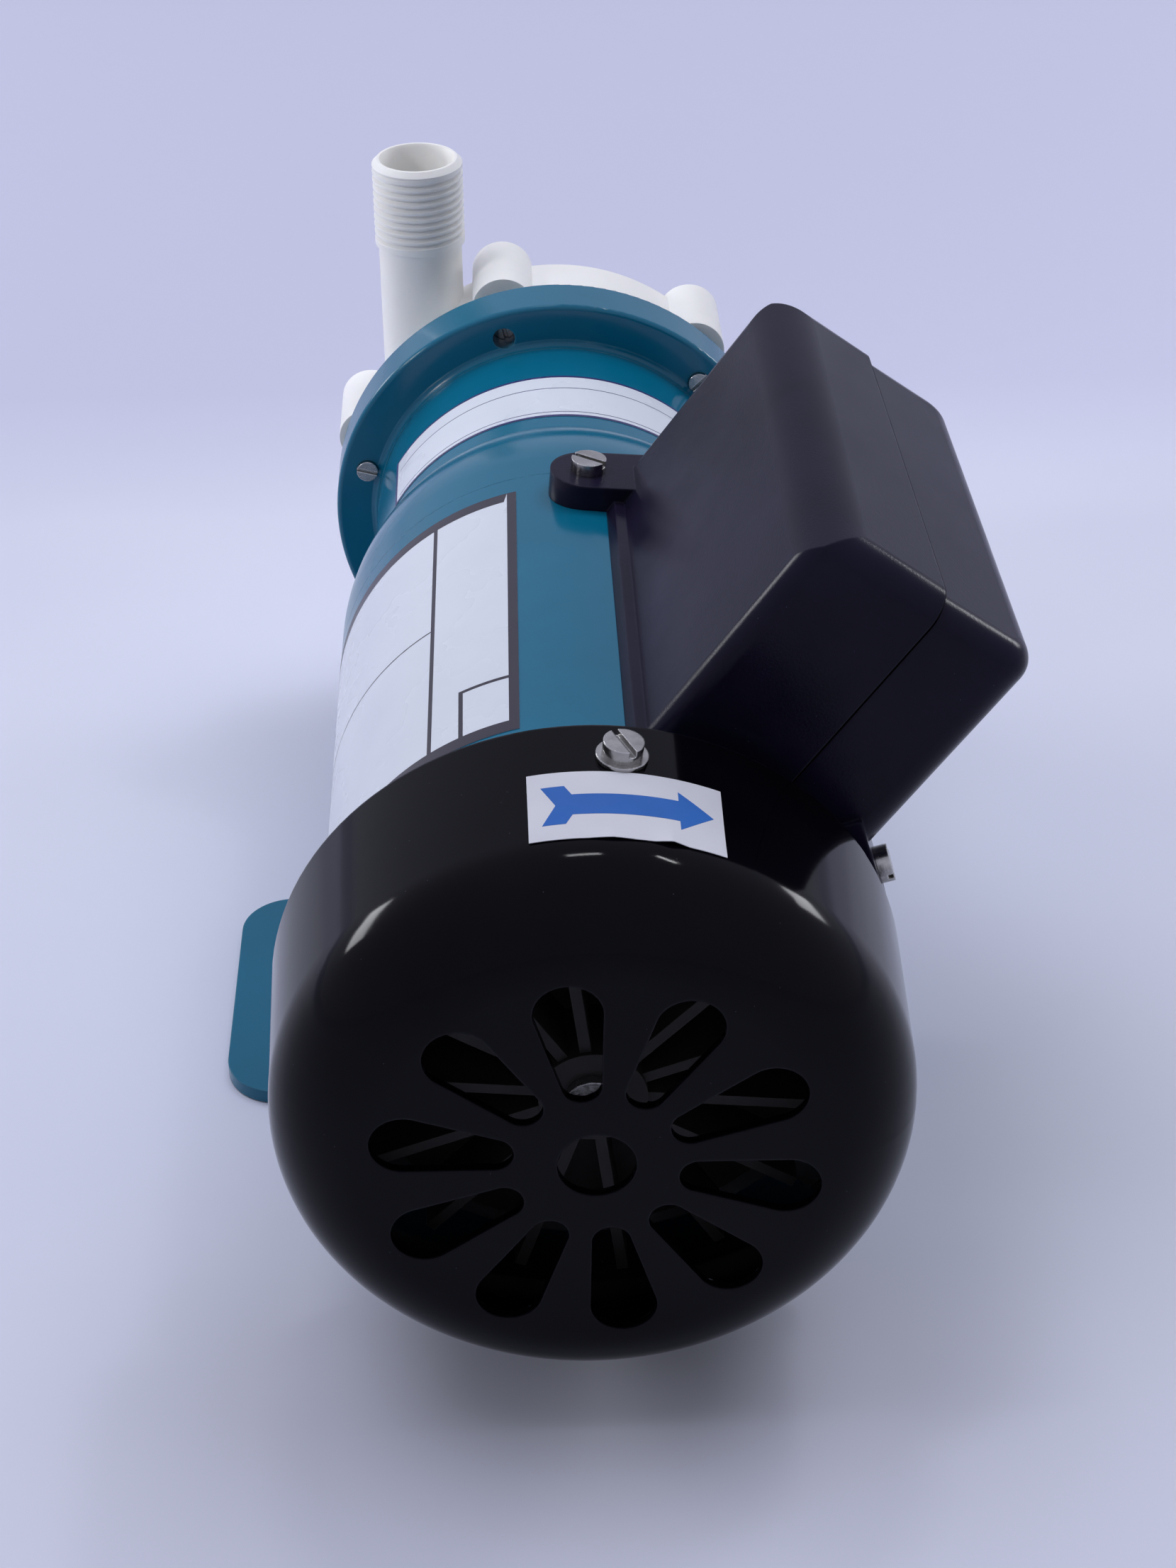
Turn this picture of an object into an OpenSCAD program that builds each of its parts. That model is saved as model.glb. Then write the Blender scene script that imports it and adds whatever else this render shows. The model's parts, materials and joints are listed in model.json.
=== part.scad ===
// Magnetic drive pump: a fan cooled motor turns a magnet ring, which drags a sealed
// impeller round inside a plastic pump head.
// X is to the right seen from the fan end, Y runs from the fan to the pump head, Z is up.
// The origin is the centre of the foot bolt pattern on the mounting plane.
// Stations along the shaft are measured from the flat face of the fan cover.

/* [Motor body] */
// Height of the shaft axis above the mounting plane
shaft_height = 63; // [62:0.5:70]
// Outside radius of the motor shell
shell_r = 48.4; // [47:0.1:50]
// Wall of the motor shell
shell_wall = 2; // [1.5:0.1:2.4]
// Length of the motor shell
shell_len = 116; // [112:1:124]
// How far the fan cover reaches over the shell
shell_overlap = 7.8; // [6:0.1:9]

/* [Fan cover] */
// Depth of the fan cover
cover_depth = 47.8; // [46:0.1:50]
// Radius where the cover's shoulder ends
cover_r = 55.7; // [54.5:0.1:57]
// How much wider the cover is at its open edge
cover_draft = 1.15; // [0.6:0.05:1.6]
// Radius of the rounded shoulder
cover_shoulder = 17; // [14:0.5:19]
// Wall of the fan cover
cover_wall = 1.8; // [1.4:0.1:2.2]
// Number of air slots
slot_count = 10; // [8:1:10]
// Direction of the first air slot
slot_phase = 98; // [80:1:110]
// Radius of the outer end of the slots
slot_outer = 38.4; // [36:0.1:38.5]
// Radius of the inner end of the slots
slot_inner = 14.1; // [13:0.1:16]
// Width of the slots at the outer end
slot_wide = 11.6; // [9:0.1:12]
// Width of the slots at the inner end
slot_narrow = 6.8; // [5:0.1:7]
// Radius of the hole in the middle of the cover
cover_hole_r = 6.7; // [4:0.1:8]
// Direction of the first cover screw
cover_screw_angle = 84; // [78:1:88]
// Station of the cover screws
cover_screw_s = 38.5; // [37:0.1:40]

/* [Cooling fan] */
// Radius of the blade tips
fan_r = 41.8; // [38:0.1:42]
// Number of straight blades
blade_count = 14; // [8:1:16]
// Direction of the first blade
blade_phase = 20; // [0:1:25]
// Thickness of a blade
blade_t = 2; // [1.5:0.1:3]
// Station of the front edges of the blades
blade_front = 18.5; // [16:0.5:21]
// Depth of the blades along the shaft
blade_depth = 13; // [9:0.5:14]
// Radius of the fan hub
fan_hub_r = 9.5; // [8:0.1:12]

/* [Foot] */
// Distance from the fan end of the shell to the middle of the foot
foot_offset = 86; // [78:1:88]
// Width of the foot
foot_w = 142; // [136:1:150]
// How far the foot is set to the left of the shaft
foot_shift = 2.5; // [0:0.1:4]
// Length of the foot along the shaft
foot_len = 67; // [60:1:72]
// Sheet thickness of the foot
foot_t = 3; // [2:0.1:4]
// Half width of the raised saddle
foot_saddle = 38; // [34:0.5:41]
// Radius of the flange corners
foot_corner = 11; // [4:0.5:11]
// Spacing of the foot bolts across the pump
foot_bolt_x = 106; // [100:1:112]
// Spacing of the foot bolts along the pump
foot_bolt_y = 44; // [36:1:48]
// Radius of the foot bolt holes
foot_hole_r = 3.5; // [2.5:0.1:4.2]

/* [Pump bracket] */
// Straight length next to the shell
skirt_len = 8; // [5:0.5:12]
// Length of the curved taper
taper_len = 25; // [20:0.5:30]
// Radius of the neck
neck_r = 42.4; // [41.5:0.1:44]
// Length of the neck
neck_len = 40.3; // [39:0.1:44]
// Fillet between the neck and the flange
neck_fillet = 1.5; // [1:0.1:2]
// Radius of the flange
flange_r = 52.1; // [51.5:0.1:54]
// Thickness of the flange
flange_t = 12.7; // [11:0.1:14]
// Radius of the stud circle
stud_circle_r = 46; // [45.8:0.1:46.6]
// Direction of the first stud
stud_phase = 45; // [40:1:50]

/* [Terminal box] */
// Direction that the box points to
box_angle = 54; // [53:0.1:56]
// Station of the fan end of the box
box_start = 54; // [53:0.5:57]
// Length of the box
box_len = 98; // [95:0.5:101]
// Reach of the box to the left of its direction
box_left = 20.2; // [19:0.1:21.5]
// Reach of the box to the right of its direction, half way along
box_right = 27.8; // [27:0.1:28.6]
// Distance of the outer face from the shaft
box_top = 97.3; // [95:0.1:100]
// Where the two shells meet half way along, to the right of the box direction
box_seam = 4.4; // [2:0.1:6]
// How far the right shell is set back from the left one
box_step = 1.2; // [0.6:0.1:1.6]
// How far the seam and the right shell are turned out at the fan end
box_splay = 2.1; // [0:0.1:2.4]
// Width of the groove along the seam
box_groove = 0.5; // [0.3:0.1:0.8]
// Wall of the box
box_wall = 2.5; // [2:0.1:3]
// Rounding of the long outer edge of the left shell
box_round_left = 9; // [6:0.5:10]
// Rounding of the outer edges of the right shell
box_round_right = 5.5; // [4.5:0.1:5.8]
// Rounding of the outer edges at both ends of the left shell
box_end_round = 5.5; // [4:0.5:7]
// Rounding of the upright edges of the left shell
box_side_round = 3.5; // [3.2:0.1:5]
// Rounding of the upright edges of the right shell
box_corner = 7; // [6.5:0.1:8]
// Angle from the box direction to the left ear
ear_left = 31.5; // [30.5:0.1:32.5]
// Angle from the box direction to the right ear
ear_right = 37.5; // [37:0.1:39]
// Radius of the ear ends
ear_r = 7.6; // [7:0.1:8]
// Thickness of the left ear above the motor shell
ear_left_t = 5.2; // [4.5:0.1:6]
// Thickness of the right ear above the motor shell
ear_right_t = 7.6; // [6:0.1:8]
// How far the left ear stands out past the end of the box
ear_past = 3; // [1:0.1:4]

/* [Box contents] */
// Radius of the run capacitor
capacitor_r = 13; // [11:0.1:13]
// Length of the run capacitor
capacitor_len = 54; // [48:1:54]
// Length of the terminal block
block_len = 40; // [34:1:42]
// Width of the terminal block
block_w = 11; // [9:0.5:11]
// Height of the terminal block
block_h = 16; // [14:0.5:17]
// Radius of the cable hole in the grommet
cable_r = 3.5; // [3:0.1:4]

/* [Pump head] */
// Thickness of the rear casing in front of the flange
rear_casing_t = 10; // [9:0.1:11]
// Depth of the front casing
front_casing_t = 18; // [17.5:0.1:19]
// Radius of both casings
casing_r = 46.3; // [45.5:0.1:46.8]
// Radius of the bolt bosses
boss_r = 7.1; // [6.6:0.1:7.4]
// Length of the bosses on the front casing
boss_len = 16; // [15:0.1:17]
// Thickness of the lobes on the rear casing
lobe_t = 6; // [5:0.1:8]
// Distance of the discharge pipe to the left of the shaft
pipe_x = 30.9; // [30.4:0.1:31.2]
// Height of the pipe mouth above the shaft
pipe_top = 75.1; // [70:0.1:80]
// Outside radius of the pipe threads
thread_r = 10.4775; // [10.4775]
// Length of the pipe threads
thread_len = 20.2; // [18:0.1:22]
// Chamfer round the pipe mouths
mouth_chamfer = 1.2; // [0.6:0.1:1.6]
// Radius of the plain pipe
pipe_r = 9.7; // [9.5:0.05:9.9]
// Radius of the flow passage
port_r = 7.5; // [6.5:0.1:7.6]
// Length of the suction spigot in front of the casing
suction_len = 36; // [34:0.5:42]
// Radius of the impeller
impeller_r = 32; // [30:0.1:33]
// Number of impeller vanes
vane_count = 6; // [4:1:7]

/* [Magnetic coupling] */
// Outside radius of the drive magnet hub
drive_r = 36.5; // [36:0.1:37]
// Outside radius of the containment can
can_r = 26.8; // [26.3:0.1:27.2]
// Wall of the containment can
can_wall = 2; // [1.6:0.1:2.2]
// Number of drive magnets
magnet_count = 8; // [6:2:10]

/* [Shaft and rotor] */
// Radius of the motor shaft in its bearings
shaft_r = 6; // [5.8:0.1:6.3]
// Outside radius of the bearings
bearing_r = 16; // [15.5:0.1:16.5]
// Width of the bearings
bearing_w = 10; // [9:0.5:10.5]
// Radius of the rotor core
rotor_r = 27; // [26:0.1:28]
// Length of the stator and rotor cores
core_len = 50; // [44:1:56]
// Number of stator slots
stator_slots = 24; // [18:6:24]

/* [Fits] */
// Radial clearance of shafts in bearings and bushes
running_gap = 0.02; // [0.01:0.01:0.05]
// Radial clearance of registers and screws
fit_gap = 0.05; // [0.02:0.01:0.1]
// Air gap between rotor and stator
air_gap = 0.35; // [0.3:0.05:0.5]

/* [Hidden] */
$fn = 72;
shell_start = cover_depth - shell_overlap;
shell_end = shell_start + shell_len;
shell_bore = shell_r - shell_wall;
foot_s = shell_start + foot_offset;
cover_edge_r = cover_r + cover_draft;
cover_tilt = atan(cover_draft / (cover_depth - cover_shoulder));
cover_screw_r = cover_r + (cover_screw_s - cover_shoulder) * tan(cover_tilt);
lug_w = 11;
lug_gap = 0.6;
hole_gap = 0.2;
shield_t = 4;
spigot_len = 6;
spigot_wall = 4.5;
hub_wall = 5;
bearing_seat = 4;
shaft_hole_r = shaft_r + 1;
taper_s = shell_end + skirt_len;
neck_s = taper_s + taper_len;
flange_back = neck_s + neck_len;
flange_front = flange_back + flange_t;
taper_drop = shell_r - neck_r;
taper_arc_r = (taper_len * taper_len + taper_drop * taper_drop) / (2 * taper_drop);
bearing_back_s = shell_start + bearing_seat;
bearing_front_s = shell_end + 2;
web_s = bearing_front_s + bearing_w;
web_t = 5;
cavity_s = web_s + web_t;
cavity_r = drive_r + 1.5;
register_t = 4;
core_s = shell_start + (shell_len - core_len) / 2 + 5;
stator_bore = rotor_r + air_gap;
winding_reach = 15;
split_s = flange_front + rear_casing_t;
head_s = split_s + front_casing_t;
boss_s = split_s + boss_len;
pipe_s = split_s + pipe_r + 0.3;
suction_hub_r = 17;
suction_hub_s = head_s + suction_len - 22;
suction_end = head_s + suction_len;
stud_r = 2.5;
screw_r = 2;
head_r = 3.5;
head_h = 2.6;
washer_t = 0.8;
washer_r = 4.5;
cover_screw_gap = 0.9;
cover_screw_len = cover_screw_r + washer_t - shell_r - cover_screw_gap;
nut_h = 4;
box_s = box_start + box_len / 2;
ear_left_s = box_start + box_len - ear_r + ear_past;
ear_right_s = box_start + ear_r;
can_gap = 20;
can_end = cavity_s + can_gap;
can_floor = 2.5;
hub_r = 13;
hub_gap = 2;
hub_s = cavity_s + hub_gap;
hub_floor = 5;
drive_gap = 3;
drive_floor = can_end - drive_gap;
rim_t = 3;
rim_back = 6;
magnet_t = 4;
magnet_gap = 2;
magnet_back = 10;
set_screw_len = 6;
set_screw_socket = 2;
spindle_r = 4;
spindle_back = can_end + can_floor;
spindle_front = split_s + 16;
bush_r = 7;
sleeve_wall = 1.4;
cap_t = 3;
thrust_s = split_s + 9;
thrust_t = 3;
spindle_boss_r = 6.5;
sleeve_gap = 9;
sleeve_past = 1;
sleeve_play = 1.4;
sleeve_back = spindle_back + sleeve_gap;
sleeve_front = flange_front + sleeve_past;
sleeve_r = can_r - can_wall - sleeve_play;
shroud_t = 2.5;
eye_r = 11;
wheel_back = flange_front + 5.5;
wheel_t = 13;
pocket_r = impeller_r + 4;
chamber_r = impeller_r + 4.5;
chamber_shift = 2;
chamber_depth = 14;
throat_r = port_r - 0.8;
throat_h = sqrt(pow(chamber_r, 2) - pow(pipe_x - port_r - chamber_shift, 2)) + 0.5;
inlet_r = 12;
inlet_s = head_s + 4;
oring_r = 40.6;
oring_t = 0.95;
grommet_r = 5;
grommet_lip_r = 7;
grommet_lip = 1.6;
groove_depth = 1;

// Frame with Z along the shaft, at a station
module on_shaft(s = 0) {
  translate([0, s - foot_s, shaft_height])
    rotate([-90, 0, 0])
      children();
}

// Turns a shaft frame so that its X points in a direction, anticlockwise from the right
module toward(a) {
  rotate([0, 0, -a])
    children();
}

// Frame with Z pointing away from the shaft; X runs back to the fan, Y clockwise
module outward(a, s) {
  on_shaft(s)
    toward(a)
      rotate([0, 90, 0])
        children();
}

module ring(outer, inner, h) {
  difference() {
    cylinder(r = outer, h = h);
    translate([0, 0, -1])
      cylinder(r = inner, h = h + 2);
  }
}

// Solid of revolution from a station to another
module drum(r, s0, s1) {
  translate([0, 0, s0])
    cylinder(r = r, h = s1 - s0);
}

// Rectangle between two corners with four round corners
module soft_rect(x0, y0, x1, y1, r) {
  translate([x0 + r, y0])
    square([x1 - x0 - 2 * r, y1 - y0]);
  translate([x0, y0 + r])
    square([x1 - x0, y1 - y0 - 2 * r]);
  for (x = [x0 + r, x1 - r])
    for (y = [y0 + r, y1 - r])
      translate([x, y])
        circle(r = r);
}

// Slot with a wide end and a narrow end, narrow end at the origin
module teardrop(d, r0, r1) {
  b = asin((r1 - r0) / d);
  nx = -sin(b);
  ny = cos(b);
  p0 = r0 - 0.02;
  p1 = r1 - 0.02;
  circle(r = r0);
  translate([d, 0])
    circle(r = r1);
  polygon([[p0 * nx, p0 * ny], [d + p1 * nx, p1 * ny], [d + p1 * nx, -p1 * ny], [p0 * nx, -p0 * ny]]);
}

// Slotted cheese head screw, seat of the head at the origin
module cheese_screw(length) {
  difference() {
    union() {
      cylinder(r = head_r, h = head_h);
      translate([0, 0, -length])
        cylinder(r = screw_r - fit_gap, h = length + 0.5);
    }
    translate([-head_r - 1, -0.6, head_h - 1.2])
      cube([2 * head_r + 2, 1.2, 2]);
  }
}

module at_cover_screws() {
  for (a = [0 : 120 : 240])
    outward(cover_screw_angle + a, cover_screw_s)
      translate([0, 0, cover_screw_r])
        rotate([0, cover_tilt, 0])
          children();
}

module at_studs() {
  for (a = [0 : 60 : 300])
    on_shaft()
      toward(stud_phase + a)
        translate([stud_circle_r, 0, 0])
          children();
}

// Half section of the fan cover's outside or inside, wall taken off all round
module cover_section(wall, back) {
  r = cover_shoulder - wall;
  translate([0, wall])
    square([cover_r - cover_shoulder, cover_shoulder - wall]);
  intersection() {
    translate([cover_r - cover_shoulder, cover_shoulder])
      circle(r = r);
    square([cover_r, cover_shoulder]);
  }
  polygon([[0, cover_shoulder], [cover_r - wall, cover_shoulder],
    [cover_edge_r - wall + (back - cover_depth) * tan(cover_tilt), back], [0, back]]);
}

// Cross section of the terminal box with its two outer corners rounded apart
module box_section(left, right, top, r0, r1) {
  low = 20;
  translate([left, low])
    square([r0, top - r0 - low]);
  translate([left + r0, low])
    square([right - left - r0 - r1, top - low]);
  translate([right - r1, low])
    square([r1, top - r1 - low]);
  translate([left + r0, top - r0])
    circle(r = r0);
  translate([right - r1, top - r1])
    circle(r = r1);
}

// Soft edged block of the terminal box, moved in by a wall
module box_block(inset, top) {
  half = box_len / 2 - inset;
  left = -box_left + inset;
  right = box_right - inset;
  intersection() {
    translate([-box_len, 0, 0])
      rotate([90, 0, 90])
        linear_extrude(2 * box_len)
          box_section(left, right, top, box_round_left - inset, box_round_right - inset);
    linear_extrude(top + 5)
      soft_rect(-half, left, half, right, box_side_round - inset);
    translate([0, 2 * box_top, 0])
      rotate([90, 0, 0])
        linear_extrude(4 * box_top)
          soft_rect(-half, 20, half, top, box_end_round - inset);
  }
}

// Block of the right shell, moved in by a wall
module right_block(inset, top) {
  half = box_len / 2 - inset;
  right = box_right - inset;
  r = box_round_right - inset;
  intersection() {
    translate([-box_len, 0, 0])
      rotate([90, 0, 90])
        linear_extrude(2 * box_len)
          box_section(-box_left, right, top, r, r);
    linear_extrude(top + 5)
      soft_rect(-half, -box_left, half, right, box_corner - inset);
    translate([0, 2 * box_top, 0])
      rotate([90, 0, 0])
        linear_extrude(4 * box_top)
          soft_rect(-half, 20, half, top, r);
  }
}

// What a ball nosed corner leaves off at both outer corners of the right shell
module right_corners(inset, top) {
  r = box_round_right - inset;
  turn = box_corner - inset;
  for (end = [0, 1])
    mirror([end, 0, 0])
      translate([box_len / 2 - box_corner, box_right - box_corner, top - r])
        difference() {
          cube([turn + 1, turn + 1, r + 1]);
          rotate_extrude()
            intersection() {
              union() {
                square([turn - r, r]);
                translate([turn - r, 0])
                  circle(r = r - 0.02);
              }
              square([turn, r]);
            }
        }
}

// Turns the seam and the right shell about the middle of the box
module box_turn() {
  translate([0, box_seam, 0])
    rotate([0, 0, box_splay])
      translate([0, -box_seam, 0])
        children();
}

// Space inside both shells of the terminal box
module box_cavity() {
  outward(box_angle, box_s)
    difference() {
      children();
      rotate([0, 90, 0])
        cylinder(r = shell_r + box_wall, h = 4 * box_len, center = true);
    }
}

// Everything on one side of the seam
module box_half(side) {
  outward(box_angle, box_s)
    box_turn()
      translate([-box_len, side > 0 ? box_seam : box_seam - box_top, 0])
        cube([2 * box_len, box_top, 2 * box_top]);
}

// Ear that hugs the shell and reaches back into the box wall
module box_ear(a, s, side, thick) {
  reach = ear_r + 8;
  outward(a, s)
    linear_extrude(shell_r + thick)
      union() {
        circle(r = ear_r);
        translate([-ear_r, side > 0 ? 0 : -reach])
          square([2 * ear_r, reach]);
      }
}

// Screw hole from an ear through the shell and any spigot behind it
module ear_hole(a, s) {
  outward(a, s)
    translate([0, 0, shell_bore - spigot_wall - 1])
      cylinder(r = screw_r + fit_gap, h = box_top);
}

module shell_space() {
  on_shaft()
    drum(shell_r, 0, flange_front);
}

module lead_hole() {
  outward(box_angle, box_s)
    translate([0, -8, shell_r - 10])
      cylinder(r = 5, h = 20);
}

module motor_shell() {
  color("#2b6f88")
    difference() {
      on_shaft(shell_start)
        ring(shell_r, shell_bore, shell_len);
      lead_hole();
      ear_hole(box_angle + ear_left, ear_left_s);
      ear_hole(box_angle - ear_right, ear_right_s);
    }
}

module mounting_foot() {
  top = shaft_height;
  lip = shaft_height - sqrt(shell_r * shell_r - foot_saddle * foot_saddle) - 1;
  color("#2b6f88")
    difference() {
      intersection() {
        translate([0, foot_len / 2, 0])
          rotate([90, 0, 0])
            linear_extrude(foot_len)
              difference() {
                union() {
                  translate([-foot_w / 2 - foot_shift, 0])
                    square([foot_w, foot_t]);
                  translate([-foot_saddle, 0])
                    square([2 * foot_saddle, top]);
                }
                translate([0, shaft_height])
                  circle(r = shell_r);
                translate([-shell_r, lip])
                  square([2 * shell_r, top]);
                difference() {
                  translate([-foot_saddle + foot_t, -1])
                    square([2 * (foot_saddle - foot_t), top]);
                  translate([0, shaft_height])
                    circle(r = shell_r + foot_t);
                }
              }
        linear_extrude(2 * top)
          translate([-foot_shift, 0])
            soft_rect(-foot_w / 2, -foot_len / 2, foot_w / 2, foot_len / 2, foot_corner);
      }
      for (x = [-1, 1])
        for (y = [-1, 1])
          translate([x * foot_bolt_x / 2, y * foot_bolt_y / 2, -1])
            cylinder(r = foot_hole_r, h = foot_t + 2);
    }
}

module pump_bracket() {
  color("#2b6f88")
    difference() {
      on_shaft()
        rotate_extrude()
          difference() {
            union() {
              translate([0, shell_end - spigot_len])
                square([shell_bore - fit_gap, spigot_len + 1]);
              translate([0, shell_end])
                square([shell_r, skirt_len]);
              intersection() {
                translate([shell_r - taper_arc_r, taper_s])
                  circle(r = taper_arc_r);
                translate([0, taper_s - 0.01])
                  square([shell_r, taper_len + 0.01]);
              }
              translate([0, neck_s - 0.01])
                square([neck_r, neck_len + 1]);
              translate([neck_r - 1, flange_back - neck_fillet])
                difference() {
                  square(neck_fillet + 1);
                  translate([neck_fillet + 1, 0])
                    circle(r = neck_fillet - 0.1);
                }
              translate([0, flange_back])
                soft_rect(-flange_r, 0, flange_r, flange_t, 1);
            }
            translate([-2 * flange_r, 0])
              square([2 * flange_r, 2 * flange_front]);
            square([shaft_hole_r, 2 * flange_front]);
            square([bearing_r, web_s]);
            translate([bearing_r + hub_wall, 0])
              square([shell_bore - spigot_wall - bearing_r - hub_wall, web_s - 4]);
            translate([0, cavity_s])
              square([cavity_r, flange_front]);
            translate([0, flange_front - register_t])
              square([cavity_r + 3, register_t + 1]);
          }
      at_studs()
        drum(stud_r, flange_back - 1, flange_front + 1);
      ear_hole(box_angle + ear_left, ear_left_s);
    }
}

module rear_end_shield() {
  back = shell_start - shield_t;
  color("#b9bcc0")
    difference() {
      union() {
        on_shaft()
          rotate_extrude()
            difference() {
              union() {
                translate([0, back])
                  square([shell_r, shield_t]);
                translate([0, back])
                  square([shell_bore - fit_gap, shield_t + spigot_len + 2]);
                translate([0, back])
                  square([bearing_r + hub_wall, shield_t + bearing_seat + bearing_w]);
              }
              square([shaft_hole_r, shell_end]);
              translate([0, bearing_back_s])
                square([bearing_r, shell_end]);
              translate([bearing_r + hub_wall, shell_start + 2])
                square([shell_bore - spigot_wall - bearing_r - hub_wall, shell_end]);
            }
        intersection() {
          for (a = [0 : 120 : 240])
            outward(cover_screw_angle + a, cover_screw_s)
              translate([-lug_w / 2, -lug_w / 2, fan_r + lug_gap])
                cube([lug_w, lug_w, cover_edge_r]);
          on_shaft()
            rotate_extrude()
              difference() {
                cover_section(cover_wall, cover_depth);
                translate([0, shell_start])
                  square([shell_r, cover_depth]);
              }
        }
      }
      at_cover_screws()
        translate([0, 0, shell_r - cover_screw_gap - cover_screw_r])
          cylinder(r = screw_r, h = cover_screw_r - shell_r + cover_screw_gap + 1);
    }
}

module stator_core() {
  color("#6f7377")
    on_shaft(core_s)
      difference() {
        ring(shell_bore, stator_bore, core_len);
        for (i = [0 : stator_slots - 1])
          toward(i * 360 / stator_slots) {
            translate([stator_bore + 1.5, -1.8, -1])
              cube([10, 3.6, core_len + 2]);
            translate([stator_bore - 1, -0.9, -1])
              cube([4, 1.8, core_len + 2]);
          }
      }
}

module stator_winding() {
  r0 = stator_bore + 2;
  r1 = r0 + 9;
  color("#b5652b")
    on_shaft(core_s) {
      for (i = [0 : stator_slots - 1])
        toward(i * 360 / stator_slots)
          translate([r0, -1.8, -1])
            cube([9, 3.6, core_len + 2]);
      for (z = [-winding_reach, core_len])
        translate([0, 0, z])
          rotate_extrude()
            soft_rect(r0, 0, r1 + 2, winding_reach, 4);
    }
}

module bearing(s) {
  on_shaft(s)
    difference() {
      ring(bearing_r, shaft_r + running_gap, bearing_w);
      for (z = [-1, bearing_w - 0.6])
        translate([0, 0, z])
          ring(bearing_r - 2.6, shaft_r + 2.4, 1.6);
    }
}

module front_bearing() {
  color("#d5d8db")
    bearing(bearing_front_s);
}

module rear_bearing() {
  color("#d5d8db")
    bearing(bearing_back_s);
}

module fan_cover() {
  color("#101114")
    difference() {
      on_shaft()
        rotate_extrude()
          difference() {
            cover_section(0, cover_depth);
            cover_section(cover_wall, cover_depth + 1);
          }
      on_shaft(-1)
        linear_extrude(cover_wall + 4)
          for (i = [0 : slot_count - 1])
            toward(slot_phase + i * 360 / slot_count)
              translate([slot_inner + slot_narrow / 2, 0])
                teardrop(slot_outer - slot_inner - (slot_wide + slot_narrow) / 2,
                  slot_narrow / 2, slot_wide / 2);
      on_shaft(-1)
        cylinder(r = cover_hole_r, h = cover_wall + 2);
      at_cover_screws()
        translate([0, 0, -4])
          cylinder(r = screw_r + hole_gap, h = 6);
    }
}

module fan_cover_washers() {
  color("#c9ccd0")
    at_cover_screws()
      ring(washer_r, screw_r + hole_gap, washer_t);
}

module fan_cover_screws() {
  color("#c9ccd0")
    at_cover_screws()
      translate([0, 0, washer_t])
        rotate([0, 0, 25])
          cheese_screw(cover_screw_len);
}

module box_left_shell() {
  color("#2a2a30")
    difference() {
      union() {
        intersection() {
          outward(box_angle, box_s)
            box_block(0, box_top);
          box_half(-1);
        }
        box_ear(box_angle + ear_left, ear_left_s, 1, ear_left_t);
        intersection() {
          outward(box_angle, box_s)
            translate([-box_len / 2 + 3, -box_left - 1.8, 0])
              cube([box_len - 6, 10, box_top]);
          on_shaft()
            drum(shell_r + 2.5, box_start, box_start + box_len);
        }
      }
      box_cavity()
        box_block(box_wall, box_top - box_step - box_wall);
      shell_space();
      lead_hole();
      ear_hole(box_angle + ear_left, ear_left_s);
    }
}

module box_right_shell() {
  color("#2a2a30")
    difference() {
      union() {
        intersection() {
          outward(box_angle, box_s)
            box_turn()
              difference() {
                right_block(box_step / 2, box_top - box_step);
                right_corners(box_step / 2, box_top - box_step);
                difference() {
                  translate([-box_len, box_seam - 1, 0])
                    cube([2 * box_len, box_groove + 1, 2 * box_top]);
                  right_block(box_step / 2 + groove_depth, box_top - box_step - groove_depth);
                }
              }
          box_half(1);
        }
        difference() {
          box_ear(box_angle - ear_right, ear_right_s, -1, ear_right_t);
          box_half(-1);
        }
      }
      box_cavity()
        box_turn()
          right_block(box_wall, box_top - box_step - box_wall);
      shell_space();
      ear_hole(box_angle - ear_right, ear_right_s);
      at_grommet()
        cylinder(r = grommet_r, h = 10, center = true);
    }
}

module box_screws() {
  color("#c9ccd0") {
    outward(box_angle + ear_left, ear_left_s)
      translate([0, 0, shell_r + ear_left_t])
        rotate([0, 0, 60])
          cheese_screw(ear_left_t + shell_wall + 1);
    outward(box_angle - ear_right, ear_right_s)
      translate([0, 0, shell_r + ear_right_t])
        rotate([0, 0, 15])
          cheese_screw(ear_right_t + shell_wall + 1);
  }
}

// Capacitor with two blade terminals, lying in the outer corner of the right shell
module run_capacitor() {
  inset = box_wall + capacitor_r + 0.3;
  tab = [0.8, 6, 9];
  color("#d9d9d2")
    outward(box_angle, box_s)
      box_turn()
        translate([-capacitor_len / 3, box_right - inset, box_top - box_step - inset])
          rotate([0, 90, 0]) {
            cylinder(r = capacitor_r, h = capacitor_len);
            for (y = [-4, 4])
              translate([-tab[0] / 2, y - tab[1] / 2, capacitor_len - 1])
                cube(tab);
          }
}

// Block with three wire holes, on the inside of the left wall
module terminal_block() {
  pole = block_len / 3;
  color("#cfc7ae")
    outward(box_angle, box_s)
      translate([-block_len / 2, -box_left + box_wall, shell_r + 12])
        difference() {
          cube([block_len, block_w, block_h]);
          for (i = [0 : 2])
            translate([(i + 0.5) * pole, block_w / 2, 6])
              cylinder(r = 3, h = block_h);
        }
}

module at_grommet() {
  outward(box_angle, box_s)
    box_turn()
      translate([-box_len / 2 + 22, box_right - box_step / 2, shell_r + 24])
        rotate([-90, 0, 0])
          children();
}

module cable_grommet() {
  wall = box_wall - box_step / 2;
  color("#1c1c1e")
    at_grommet()
      difference() {
        union() {
          translate([0, 0, -wall - grommet_lip])
            cylinder(r = grommet_lip_r, h = grommet_lip);
          translate([0, 0, -wall - grommet_lip])
            cylinder(r = grommet_r, h = wall + 2 * grommet_lip);
          cylinder(r = grommet_lip_r, h = grommet_lip);
        }
        translate([0, 0, -20])
          cylinder(r = cable_r, h = 40);
      }
}

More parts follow.
